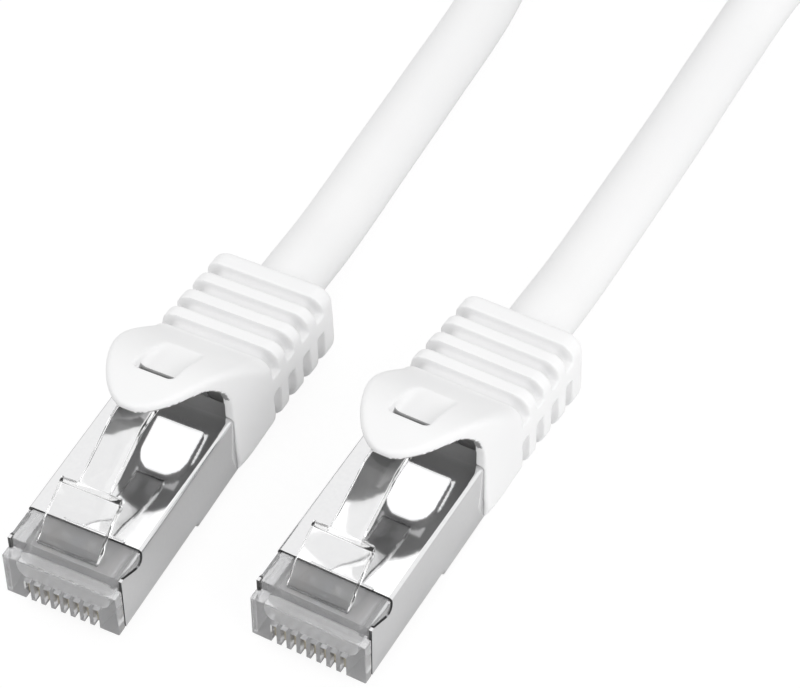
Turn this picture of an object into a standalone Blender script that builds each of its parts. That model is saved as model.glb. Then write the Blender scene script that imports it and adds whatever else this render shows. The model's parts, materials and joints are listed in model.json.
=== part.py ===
# Shielded network patch cable: two clear 8-contact plugs, each in a metal shield with a white
# hooded boot behind it, on one round white cord whose spare length lies in a tied coil.
#
# Each end is modelled in its own frame: X across the plug, Y from the nose to the cord, Z up,
# with the origin under the middle of the nose. An empty carries that frame, and the pieces of
# the end are its children. A moving piece has its origin on its hinge axis.

import math

import bmesh
import bpy
from mathutils import Matrix, Vector

MM = 0.001

# Gaps between pieces
GAP = 0.1 * MM                  # between flat faces
FIT = 0.3 * MM                  # round faceted pieces

# Plug
PLUG_WIDTH = 11.68 * MM
PLUG_HEIGHT = 6.7 * MM          # shield's top above the nose's underside
CONTACTS = 8
PITCH = 1.016 * MM

# Shield, folded from sheet
SHEET = 0.3 * MM
SHIELD_BEND = 0.35 * MM
SHIELD_LIP = 5.6 * MM           # height of the side plate's front edge
SHIELD_CROWN = 4.9 * MM         # front edge of the top plate
SHIELD_REAR = 23.4 * MM
TAIL_FRONT = 14.6 * MM          # where the shield deepens
TAIL_DEPTH = 0.8 * MM           # how far it then hangs below the nose

# Cord
CORD_DIAMETER = 6.4 * MM
CORD_FRONT = 24.5 * MM          # where the jacket starts, inside the boot
BRAID_THICKNESS = 0.25 * MM
BRAID_GAP = 0.15 * MM
BRAID_FRONT = 24.6 * MM
BRAID_REAR = 28.1 * MM

# Crimp ring at the shield's rear
CRIMP_FRONT = 24.4 * MM
CRIMP_REAR = 27.6 * MM
CRIMP_SEAM = 0.6 * MM
CRIMP_STRIP = 2.4 * MM          # width of the strip that joins it to the shield
CRIMP_SIDES = 24

# Plug housing
NOSE_DEPTH = 1.1 * MM
NOSE_HEIGHT = 5.1 * MM
RAMP_FOOT = 5.6 * MM            # housing's height just behind the nose
RAMP_END = 4.6 * MM
HOUSING_REAR = 20.8 * MM
CAVITY_WIDTH = 9.4 * MM
CAVITY_FRONT = 1.3 * MM
CAVITY_FLOOR = 2.3 * MM
CAVITY_ROOF = 5.1 * MM
CAVITY_RADIUS = 1.2 * MM
SLOT_WIDTH = 0.6 * MM
SLOT_REAR = 5.8 * MM
SLOT_TOP = 2.45 * MM

# Contacts, wires and the bar that holds the wires in two rows
CONTACT_THICKNESS = 0.3 * MM
CONTACT_FRONT = 0.75 * MM
CONTACT_REAR = 5.4 * MM
CONTACT_FOOT = 0.55 * MM
CONTACT_BACK = 1.9 * MM         # height of the blade without its prongs
PRONG_WIDTH = 0.6 * MM
WIRE_DIAMETER = 0.9 * MM
WIRE_FRONT = 1.6 * MM
LOWER_ROW = 3.15 * MM
UPPER_ROW = 4.3 * MM
BAR_FRONT = 6.2 * MM
BAR_REAR = 12.0 * MM
BAR_GAP = 0.12 * MM
HOLE_DIAMETER = 1.2 * MM
BUNDLE_PITCH = 1.3 * MM         # between the wires where they enter the jacket

# Latch, heights above the shield's top
LATCH_WIDTH = 6.2 * MM
LEVER_WIDTH = 3.25 * MM
LATCH_FRONT = 1.3 * MM
LATCH_HINGE = 2.0 * MM
LATCH_HINGE_DROP = 0.1 * MM
LATCH_CREST = 3.8 * MM
LATCH_SHOULDER = 6.8 * MM
LEVER_BEND = 13.2 * MM
LEVER_TIP = 16.6 * MM
LATCH_THICKNESS = 1.05 * MM
CREST_RISE = 2.2 * MM
SHOULDER_RISE = 3.7 * MM
SHOULDER_STEP = 0.3 * MM
BEND_RISE = 6.1 * MM
TIP_RISE = 6.2 * MM

# Boot
BOOT_FRONT = 21.0 * MM
BOOT_FRONT_LEAN = 0.5 * MM
SLOPE_FOOT = 28.4 * MM
BOOT_REAR = 40.3 * MM
BOOT_FLOOR = 0.5 * MM
BOOT_SIDE = 0.71 * MM
BOOT_ROOF = 0.6 * MM
BOOT_FALL = 0.7 * MM            # how much lower the ribs are at the rear
BOOT_SWAY = 0.5 * MM            # how far the rear bends to one side
BOOT_SAG = 0.25 * MM            # how far the cord drops on its way through
SIDE_LEAN = 0.4 * MM
LOW_RADIUS = 2.4 * MM
HIGH_RADIUS = 1.6 * MM
REAR_INSET = 0.6 * MM
CORNER_STEPS = 4
BORE_GAP = 0.3 * MM
GROOVES = 4
GROOVE_FIRST = 29.4 * MM
GROOVE_PITCH = 2.7 * MM
GROOVE_WIDTH = 1.3 * MM
GROOVE_DEPTH = 0.7 * MM
GROOVE_SIDE = 1.1 * MM
GROOVE_LOW_DEPTH = 0.65 * MM
GROOVE_END = 5.6 * MM           # where the upper groove stops on the side
GROOVE_LOW_START = 3.5 * MM     # where the lower one starts

# Hood over the latch's lever
HOOD_RISE = 8.2 * MM            # hood's top above the shield's top
HOOD_CREST = 16.4 * MM          # where the back's slope ends
HOOD_DROOP = 0.2 * MM
HOOD_REACH = 11.3 * MM          # from the hinge to the tip
HOOD_ROUNDNESS = 1.85
HOOD_CLEARANCE = 0.9 * MM       # over the lever's tip
HINGE_Y = 24.6 * MM
HINGE_RISE = 3.7 * MM
HINGE_RADIUS = 1.05 * MM
HINGE_WIDTH = 9.2 * MM
BLOCK_FRONT = 17.4 * MM
BLOCK_RISE = 4.5 * MM
BLOCK_SLOPE = 1.3 * MM          # how much higher its front end is
CHEEK_RISE = 3.4 * MM
CHEEK_SLOPE = 0.8 * MM
HOOD_SECTIONS = 8
RECESS_WIDTH = 4.1 * MM
RECESS_FRONT = 18.6 * MM
RECESS_DEPTH = 1.4 * MM
RECESS_FALL = 1.5 * MM
RECESS_LENGTH = 5.2 * MM
SLIT_WIDTH = 0.35 * MM
SLIT_DEPTH = 0.5 * MM

# How the two ends lie
END_SHIFT_X = 22.1 * MM
END_SHIFT_Y = 5.3 * MM
END_YAW = -2.75

# Coil of the spare length, and its tie
COIL_CENTRE = Vector((-1.36, 135.1, 0)) * MM
COIL_DIAMETER = 70.0 * MM       # at the middle of the turns
COIL_THICKNESS = 13.2 * MM
COIL_HEIGHT = 13.0 * MM
COIL_EDGE = 2.5 * MM
COIL_SIDES = 48
TIE_THICKNESS = 0.8 * MM
TIE_WIDTH = 8.0 * MM
TIE_GAP = 0.2 * MM
CORD_SPACING = 15.0 * MM
TUBE_SIDES = 4                  # bevel resolution of a 12-sided tube

# Route of the cord outside the boots, in the assembly's frame, in millimetres
CORD_ROUTE_A = [
    (-11.65, 21.6, 4.30), (-11.75, 27.1, 3.60), (-11.87, 33.1, 3.27), (-11.95, 39.1, 3.25),
    (-12.05, 52.1, 3.25), (-12.35, 67.1, 3.25), (-14.3, 79.1, 3.25), (-18.9, 91.1, 3.25),
    (-21.1, 95.3, 3.25),
]
CORD_ROUTE_B = [
    (12.59, 26.9, 4.30), (12.75, 32.4, 3.60), (12.92, 38.4, 3.27), (13.13, 44.4, 3.25),
    (13.6, 57.4, 3.25), (14.1, 70.0, 3.9), (15.3, 80.6, 5.8), (17.5, 89.0, 7.6),
    (20.4, 96.4, 9.0),
]

# Heights that follow from the sizes above
CORD_RADIUS = CORD_DIAMETER / 2
BRAID_INNER = CORD_RADIUS + BRAID_GAP
BRAID_OUTER = BRAID_INNER + BRAID_THICKNESS
CRIMP_INNER = BRAID_OUTER + BRAID_GAP
CRIMP_OUTER = CRIMP_INNER + SHEET
CORD_HEIGHT = CRIMP_OUTER - TAIL_DEPTH
HOUSING_TOP = PLUG_HEIGHT - SHEET - GAP
BOOT_BOTTOM = -(TAIL_DEPTH + GAP + BOOT_FLOOR)
BOOT_TOP = CORD_HEIGHT + CRIMP_OUTER + FIT + BOOT_ROOF
BOOT_HALF = PLUG_WIDTH / 2 + GAP + BOOT_SIDE
HOOD_TOP = PLUG_HEIGHT + HOOD_RISE
HINGE_Z = PLUG_HEIGHT + HINGE_RISE
LATCH_HINGE_Z = PLUG_HEIGHT - LATCH_HINGE_DROP

FINISHES = {
    "clear_polycarbonate": dict(colour=(0.86, 0.87, 0.88), roughness=0.08, transmission=0.9),
    "nickel_plate": dict(colour=(0.72, 0.72, 0.73), roughness=0.12, metallic=1.0),
    "white_jacket": dict(colour=(0.86, 0.86, 0.86), roughness=0.5),
    "gold_plate": dict(colour=(0.83, 0.62, 0.28), roughness=0.25, metallic=1.0),
    "wire_insulation": dict(colour=(0.62, 0.64, 0.66), roughness=0.45),
    "tinned_braid": dict(colour=(0.60, 0.60, 0.60), roughness=0.4, metallic=1.0),
    "tie_strap": dict(colour=(0.05, 0.05, 0.05), roughness=0.6),
}

# An outline's plane: how its own axes turn, and the direction it is extruded along
PLANES = {
    "side": (Matrix(((0, 0, 1, 0), (1, 0, 0, 0), (0, 1, 0, 0), (0, 0, 0, 1))), Vector((1, 0, 0))),
    "front": (Matrix(((1, 0, 0, 0), (0, 0, -1, 0), (0, 1, 0, 0), (0, 0, 0, 1))), Vector((0, 1, 0))),
    "plan": (Matrix.Identity(4), Vector((0, 0, 1))),
}

ALONG_Y = Matrix.Rotation(math.radians(90), 4, "X")
BEYOND = 4 * MM                 # how far a cutter reaches past what it cuts


# Scene and objects

def empty_scene():
    for obj in list(bpy.data.objects):
        bpy.data.objects.remove(obj, do_unlink=True)


def add_collection(name):
    collection = bpy.data.collections.new(name)
    bpy.context.scene.collection.children.link(collection)
    return collection


def add_material(name, finish, colour, roughness, metallic=0.0, transmission=0.0):
    material = bpy.data.materials.new(f"{name}_{finish}")
    material.use_nodes = True
    shader = material.node_tree.nodes["Principled BSDF"]
    shader.inputs["Base Color"].default_value = (*colour, 1)
    shader.inputs["Roughness"].default_value = roughness
    shader.inputs["Metallic"].default_value = metallic
    shader.inputs["Transmission Weight"].default_value = transmission
    return material


def add_part(name, data, finish, end=None, pivot=(0, 0, 0)):
    """A named piece of the assembly; its data is moved so that its origin lies on the pivot."""
    if any(pivot):
        data.transform(Matrix.Translation(-Vector(pivot)))
    obj = bpy.data.objects.new(name, data)
    obj.location = pivot
    obj.parent = end
    data.materials.append(add_material(name, finish, **FINISHES[finish]))
    parts.objects.link(obj)
    return obj


def add_tool(name, data, end=None):
    """A cutter or a shape that is joined to a piece, hidden from the model."""
    obj = bpy.data.objects.new(name, data)
    obj.parent = end
    obj.hide_render = True
    obj.display_type = "WIRE"
    tools.objects.link(obj)
    return obj


def combine(piece, tool, operation):
    change = piece.modifiers.new(tool.name, "BOOLEAN")
    change.operation = operation
    change.object = tool


def cut(piece, tool):
    combine(piece, tool, "DIFFERENCE")


def join(piece, tool):
    combine(piece, tool, "UNION")


def keep(piece, tool):
    combine(piece, tool, "INTERSECT")


# Meshes

def finish_mesh(bm, name, smooth_angle=30):
    mesh = bpy.data.meshes.new(name)
    bmesh.ops.recalc_face_normals(bm, faces=bm.faces)
    bm.to_mesh(mesh)
    bm.free()
    mesh.shade_smooth()
    mesh.set_sharp_from_angle(angle=math.radians(smooth_angle))
    return mesh


def mesh_from_curve(curve, turn=None):
    """The closed mesh of a curve, with its caps welded on."""
    obj = bpy.data.objects.new(curve.name, curve)
    bpy.context.scene.collection.objects.link(obj)
    evaluated = obj.evaluated_get(bpy.context.evaluated_depsgraph_get())
    bm = bmesh.new()
    loose = bpy.data.meshes.new_from_object(evaluated)
    bm.from_mesh(loose)
    bpy.data.meshes.remove(loose)
    bmesh.ops.remove_doubles(bm, verts=bm.verts, dist=MM / 1000)
    if turn:
        bm.transform(turn)
    name = curve.name
    bpy.data.objects.remove(obj, do_unlink=True)
    bpy.data.curves.remove(curve)
    return finish_mesh(bm, name)


def prism(name, outline, plane, low, high):
    """A flat outline of (u, v) points, extruded from low to high across its plane."""
    curve = bpy.data.curves.new(name, "CURVE")
    curve.dimensions = "2D"
    curve.fill_mode = "BOTH"
    curve.extrude = (high - low) / 2
    spline = curve.splines.new("POLY")
    spline.points.add(len(outline) - 1)
    for point, (u, v) in zip(spline.points, outline):
        point.co = (u, v, 0, 1)
    spline.use_cyclic_u = True
    turn, direction = PLANES[plane]
    return mesh_from_curve(curve, Matrix.Translation(direction * (low + high) / 2) @ turn)


def boxes(name, corners):
    """One mesh of boxes, each given by its low and its high corner."""
    bm = bmesh.new()
    for low, high in corners:
        low, high = Vector(low), Vector(high)
        made = bmesh.ops.create_cube(bm, size=1)
        place = Matrix.Translation((low + high) / 2) @ Matrix.Diagonal((*(high - low), 1))
        bmesh.ops.transform(bm, matrix=place, verts=made["verts"])
    return finish_mesh(bm, name)


def rods(name, radius, low, high, centres, sides):
    """One mesh of cylinders along Y, one at each (x, z) centre."""
    bm = bmesh.new()
    for x, z in centres:
        made = bmesh.ops.create_cone(
            bm, cap_ends=True, segments=sides, radius1=radius, radius2=radius, depth=high - low)
        place = Matrix.Translation((x, (low + high) / 2, z)) @ ALONG_Y
        bmesh.ops.transform(bm, matrix=place, verts=made["verts"])
    return finish_mesh(bm, name)


def profile_mesh(name, profile, start=0.0):
    """A closed profile of (radius, height) points at an angle round Z, for a Screw modifier."""
    mesh = bpy.data.meshes.new(name)
    points = [(r * math.cos(start), r * math.sin(start), h) for r, h in profile]
    edges = [(i, (i + 1) % len(points)) for i in range(len(points))]
    mesh.from_pydata(points, edges, [])
    return mesh


def turn_profile(obj, sides):
    """Turns the object's profile into a ring round its own Z."""
    screw = obj.modifiers.new("turn", "SCREW")
    screw.steps = sides
    screw.render_steps = sides
    screw.use_merge_vertices = True
    screw.merge_threshold = 0.0001
    screw.use_smooth_shade = True


def sleeve_profile(inner, outer, length):
    return [(outer, length / 2), (outer, -length / 2), (inner, -length / 2), (inner, length / 2)]


def tube_curve(name, points, radius, resolution):
    curve = bpy.data.curves.new(name, "CURVE")
    curve.dimensions = "3D"
    curve.bevel_depth = radius
    curve.bevel_resolution = resolution
    curve.use_fill_caps = True
    spline = curve.splines.new("POLY")
    spline.points.add(len(points) - 1)
    for point, place in zip(spline.points, points):
        point.co = (*place, 1)
    return curve


def loft(name, sections):
    """A closed skin over sections of equally many points, each a list of places."""
    bm = bmesh.new()
    rings = [[bm.verts.new(place) for place in section] for section in sections]
    count = len(rings[0])
    for ring, following in zip(rings, rings[1:]):
        for i in range(count):
            k = (i + 1) % count
            bm.faces.new((ring[i], ring[k], following[k], following[i]))
    bm.faces.new(rings[0])
    bm.faces.new(rings[-1])
    bmesh.ops.triangulate(bm, faces=bm.faces)
    return finish_mesh(bm, name)


def smooth_step(t):
    t = min(max(t, 0.0), 1.0)
    return t * t * (3 - 2 * t)


def smooth_route(points, spacing):
    """Points about one spacing apart on a smooth curve through the given points."""
    ends = [points[0] * 2 - points[1], *points, points[-1] * 2 - points[-2]]
    route = [points[0]]
    for before, a, b, after in zip(ends, ends[1:], ends[2:], ends[3:]):
        steps = max(1, round((b - a).length / spacing))
        for k in range(1, steps + 1):
            t = k / steps
            bend = (before * 2 - a * 5 + b * 4 - after) * t + (a * 3 - before - b * 3 + after) * t * t
            route.append(a + ((b - before) + bend) * (t / 2))
    return route


# Outlines shared by pieces that fit each other

def rounded_outline(half, bottom, top, low_radius, high_radius, lean=True):
    """A rectangle of (x, z) points with rounded corners, from the lower right corner upwards."""
    corners = [
        (half - low_radius, bottom + low_radius, low_radius, -90),
        (half - high_radius, top - high_radius, high_radius, 0),
        (high_radius - half, top - high_radius, high_radius, 90),
        (low_radius - half, bottom + low_radius, low_radius, 180),
    ]
    outline = []
    for x, z, radius, start in corners:
        for k in range(CORNER_STEPS + 1):
            angle = math.radians(start + 90 * k / CORNER_STEPS)
            outline.append((x + radius * math.cos(angle), z + radius * math.sin(angle)))
    if not lean:
        return outline
    narrowing = SIDE_LEAN / BOOT_HALF / (BOOT_TOP - BOOT_BOTTOM)
    return [(x * (1 - narrowing * (z - BOOT_BOTTOM)), z) for x, z in outline]


def wire_x(index):
    return (index - (CONTACTS - 1) / 2) * PITCH


def wire_row(index):
    return UPPER_ROW if index % 2 else LOWER_ROW


def ramp_height(y):
    """Height of the housing's upper face behind the nose."""
    along = min(1.0, (y - NOSE_DEPTH) / (RAMP_END - NOSE_DEPTH))
    return RAMP_FOOT + (HOUSING_TOP - RAMP_FOOT) * along


def boot_top(y):
    """Height of the boot's back: the ribs, then the slope up to the hood, then the hood."""
    ribs = BOOT_TOP - BOOT_FALL * max(0.0, y - SLOPE_FOOT) / (BOOT_REAR - SLOPE_FOOT)
    along = min(max((SLOPE_FOOT - y) / (SLOPE_FOOT - HOOD_CREST), 0.0), 1.0)
    slope = (HOOD_TOP - BOOT_TOP) * math.sin(math.pi / 2 * along)
    droop = max(0.0, BOOT_FRONT - y) / (BOOT_FRONT - HINGE_Y + HOOD_REACH)
    return ribs + slope - HOOD_DROOP * droop ** 2


def cord_axis(y):
    """Where the cord's middle runs inside the boot."""
    along = smooth_step((y - SLOPE_FOOT) / (BOOT_REAR - SLOPE_FOOT))
    return Vector((BOOT_SWAY * along, y, CORD_HEIGHT - BOOT_SAG * along))


def hood_half_width(y):
    if y >= HINGE_Y:
        return BOOT_HALF
    reach = min(1.0, (HINGE_Y - y) / HOOD_REACH)
    return BOOT_HALF * (1 - reach ** HOOD_ROUNDNESS) ** (1 / HOOD_ROUNDNESS)


# Pieces of one end

def make_shield(side, end):
    half = PLUG_WIDTH / 2
    shell = rounded_outline(half, -TAIL_DEPTH, PLUG_HEIGHT, SHEET / 2, SHIELD_BEND, lean=False)
    front = NOSE_DEPTH + GAP
    shield = add_part(
        f"shield_{side}", prism("shield", shell, "front", front, SHIELD_REAR), "nickel_plate", end)
    crown = PLUG_HEIGHT + BEYOND
    slope = [
        (front - BEYOND, SHIELD_LIP), (front, SHIELD_LIP), (SHIELD_CROWN, PLUG_HEIGHT),
        (SHIELD_CROWN, crown), (front - BEYOND, crown),
    ]
    cut(shield, add_tool(f"shield_slope_{side}", prism("slope", slope, "side", -2 * half, 2 * half), end))
    step = boxes("step", [((-2 * half, -BEYOND, -BEYOND), (2 * half, TAIL_FRONT, 0))])
    cut(shield, add_tool(f"shield_step_{side}", step, end))
    roof, floor = PLUG_HEIGHT - SHEET, SHEET - TAIL_DEPTH
    room = [
        (-BEYOND, -BEYOND), (TAIL_FRONT - SHEET, -BEYOND), (TAIL_FRONT - SHEET, floor),
        (SHIELD_REAR + BEYOND, floor), (SHIELD_REAR + BEYOND, roof), (SHIELD_CROWN, roof),
        (SHIELD_CROWN, crown), (-BEYOND, crown),
    ]
    inside = half - SHEET
    cut(shield, add_tool(f"shield_room_{side}", prism("room", room, "side", -inside, inside), end))
    strip_rear = (CRIMP_FRONT + CRIMP_REAR) / 2
    strip = boxes("strip", [(
        (-CRIMP_STRIP / 2, SHIELD_REAR - SHEET, -TAIL_DEPTH), (CRIMP_STRIP / 2, strip_rear, floor))])
    join(shield, add_tool(f"crimp_strip_{side}", strip, end))
    flat = 1 / math.cos(math.pi / CRIMP_SIDES)
    profile = sleeve_profile(CRIMP_INNER * flat, CRIMP_OUTER * flat, CRIMP_REAR - CRIMP_FRONT)
    ring = add_tool(f"crimp_ring_{side}", profile_mesh("crimp", profile, math.pi / CRIMP_SIDES), end)
    ring.matrix_local = Matrix.Translation((0, (CRIMP_FRONT + CRIMP_REAR) / 2, CORD_HEIGHT)) @ ALONG_Y
    turn_profile(ring, CRIMP_SIDES)
    join(shield, ring)
    seam = boxes("seam", [(
        (-CRIMP_SEAM / 2, CRIMP_FRONT - SHEET, CORD_HEIGHT),
        (CRIMP_SEAM / 2, CRIMP_REAR + SHEET, CORD_HEIGHT + 2 * CRIMP_OUTER))])
    cut(shield, add_tool(f"crimp_seam_{side}", seam, end))


def make_housing(side, end):
    half = PLUG_WIDTH / 2
    inside = half - SHEET - GAP
    tail_front, tail_floor = TAIL_FRONT + FIT, SHEET + GAP - TAIL_DEPTH
    outline = [
        (0, 0), (tail_front, 0), (tail_front, tail_floor), (HOUSING_REAR, tail_floor),
        (HOUSING_REAR, HOUSING_TOP), (RAMP_END, HOUSING_TOP), (NOSE_DEPTH, RAMP_FOOT),
        (NOSE_DEPTH, NOSE_HEIGHT), (0, NOSE_HEIGHT),
    ]
    housing = add_part(
        f"plug_housing_{side}", prism("housing", outline, "side", -half, half),
        "clear_polycarbonate", end)
    rear = HOUSING_REAR + BEYOND
    plan = [
        (-2 * half, -BEYOND), (2 * half, -BEYOND), (2 * half, NOSE_DEPTH), (inside, NOSE_DEPTH),
        (inside, rear), (-inside, rear), (-inside, NOSE_DEPTH), (-2 * half, NOSE_DEPTH),
    ]
    keep(housing, add_tool(f"housing_plan_{side}", prism("plan", plan, "plan", -BEYOND, 3 * BEYOND), end))
    room = rounded_outline(
        CAVITY_WIDTH / 2, CAVITY_FLOOR, CAVITY_ROOF, CAVITY_RADIUS, CAVITY_RADIUS, lean=False)
    cut(housing, add_tool(f"housing_room_{side}", prism("room", room, "front", CAVITY_FRONT, rear), end))
    slots = [
        ((wire_x(i) - SLOT_WIDTH / 2, -BEYOND, -BEYOND), (wire_x(i) + SLOT_WIDTH / 2, SLOT_REAR, SLOT_TOP))
        for i in range(CONTACTS)
    ]
    cut(housing, add_tool(f"contact_slots_{side}", boxes("slots", slots), end))


def make_contacts(side, end):
    for i in range(CONTACTS):
        tip = wire_row(i) - WIRE_DIAMETER / 2 - FIT
        prong = CONTACT_REAR - 3 * PRONG_WIDTH
        outline = [
            (CONTACT_FRONT, CONTACT_FOOT), (CONTACT_REAR, CONTACT_FOOT), (CONTACT_REAR, tip),
            (CONTACT_REAR - PRONG_WIDTH, CONTACT_BACK), (prong + PRONG_WIDTH, CONTACT_BACK),
            (prong, tip), (prong - PRONG_WIDTH / 2, CONTACT_BACK), (CONTACT_FRONT, CONTACT_BACK),
        ]
        low, high = wire_x(i) - CONTACT_THICKNESS / 2, wire_x(i) + CONTACT_THICKNESS / 2
        add_part(f"contact_{i + 1}_{side}", prism("contact", outline, "side", low, high), "gold_plate", end)


def make_load_bar(side, end):
    outline = rounded_outline(
        CAVITY_WIDTH / 2 - BAR_GAP, CAVITY_FLOOR + BAR_GAP, CAVITY_ROOF - BAR_GAP,
        CAVITY_RADIUS - BAR_GAP, CAVITY_RADIUS - BAR_GAP, lean=False)
    bar = add_part(
        f"load_bar_{side}", prism("load_bar", outline, "front", BAR_FRONT, BAR_REAR),
        "clear_polycarbonate", end)
    centres = [(wire_x(i), wire_row(i)) for i in range(CONTACTS)]
    holes = rods("holes", HOLE_DIAMETER / 2, BAR_FRONT - BEYOND, BAR_REAR + BEYOND, centres, 10)
    cut(bar, add_tool(f"load_bar_holes_{side}", holes, end))


def make_wires(side, end):
    for i in range(CONTACTS):
        pair = i // 2 - (CONTACTS / 2 - 1) / 2
        level = 0.5 if i % 2 else -0.5
        start = Vector((wire_x(i), BAR_REAR, wire_row(i)))
        stop = Vector((pair * BUNDLE_PITCH, CORD_FRONT - FIT, CORD_HEIGHT + level * BUNDLE_PITCH))
        points = [Vector((start.x, WIRE_FRONT, start.z)), start]
        for k in range(1, 6):
            along = k / 5
            place = start.lerp(stop, smooth_step(along))
            points.append(Vector((place.x, start.y + (stop.y - start.y) * along, place.z)))
        add_part(
            f"wire_{i + 1}_{side}", tube_curve("wire", points, WIRE_DIAMETER / 2, 2),
            "wire_insulation", end)


def make_braid(side, end):
    profile = sleeve_profile(BRAID_INNER, BRAID_OUTER, BRAID_REAR - BRAID_FRONT)
    braid = add_part(f"braid_{side}", profile_mesh("braid", profile), "tinned_braid", end)
    braid.matrix_local = Matrix.Translation((0, (BRAID_FRONT + BRAID_REAR) / 2, CORD_HEIGHT)) @ ALONG_Y
    turn_profile(braid, CRIMP_SIDES)


def make_latch(side, end):
    top = PLUG_HEIGHT
    shoulder = top + SHOULDER_RISE
    toe = LATCH_HINGE + (LATCH_HINGE - LATCH_FRONT)
    catch = [
        (LATCH_FRONT, ramp_height(LATCH_FRONT) + 2 * FIT), (toe, ramp_height(toe) + FIT),
        (LATCH_CREST, top + CREST_RISE - LATCH_THICKNESS),
        (LATCH_SHOULDER, shoulder - LATCH_THICKNESS - SHOULDER_STEP), (LATCH_SHOULDER, shoulder),
        (LATCH_CREST, top + CREST_RISE), (LATCH_HINGE, LATCH_HINGE_Z + LATCH_THICKNESS / 2),
        (LATCH_FRONT, LATCH_HINGE_Z),
    ]
    half = LATCH_WIDTH / 2
    pivot = (0, LATCH_HINGE, LATCH_HINGE_Z)
    latch = add_part(
        f"latch_{side}", prism("latch", catch, "side", -half, half), "clear_polycarbonate", end, pivot)
    root = LATCH_SHOULDER - SHOULDER_STEP * 2
    level = shoulder - SHOULDER_STEP
    lever = [
        (root, level - LATCH_THICKNESS), (LATCH_SHOULDER, level - LATCH_THICKNESS),
        (LEVER_BEND, top + BEND_RISE - LATCH_THICKNESS), (LEVER_TIP, top + TIP_RISE - LATCH_THICKNESS),
        (LEVER_TIP, top + TIP_RISE), (LEVER_BEND, top + BEND_RISE), (LATCH_SHOULDER, level),
        (root, level - SHOULDER_STEP),
    ]
    half = LEVER_WIDTH / 2
    join(latch, add_tool(f"latch_lever_{side}", prism("lever", lever, "side", -half, half), end))


def boot_section(y, half, inset=0.0):
    low, high = min(LOW_RADIUS - inset / 2, half / 2), min(HIGH_RADIUS, half / 2)
    outline = rounded_outline(half - inset, BOOT_BOTTOM + inset, boot_top(y) - inset, low, high)
    sway = cord_axis(y).x
    return [(x + sway, y, z) for x, z in outline]


def groove_outlines(y):
    """The outlines of a rib's two grooves: over the back, and under the belly."""
    core = rounded_outline(
        BOOT_HALF - GROOVE_SIDE, BOOT_BOTTOM + GROOVE_LOW_DEPTH, boot_top(y) - GROOVE_DEPTH,
        LOW_RADIUS - GROOVE_LOW_DEPTH, HIGH_RADIUS)
    corner = CORNER_STEPS + 1
    side, far = core[corner][0], BOOT_HALF + BEYOND
    sky, ground = BOOT_TOP + BEYOND, BOOT_BOTTOM - BEYOND
    upper = [
        (side, GROOVE_END), *core[corner:3 * corner], (-side, GROOVE_END),
        (-far, GROOVE_END), (-far, sky), (far, sky), (far, GROOVE_END),
    ]
    lower = [
        (-side, GROOVE_LOW_START), *core[3 * corner:], *core[:corner], (side, GROOVE_LOW_START),
        (far, GROOVE_LOW_START), (far, ground), (-far, ground), (-far, GROOVE_LOW_START),
    ]
    sway = cord_axis(y).x
    return [[(x + sway, z) for x, z in outline] for outline in (upper, lower)]


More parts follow.
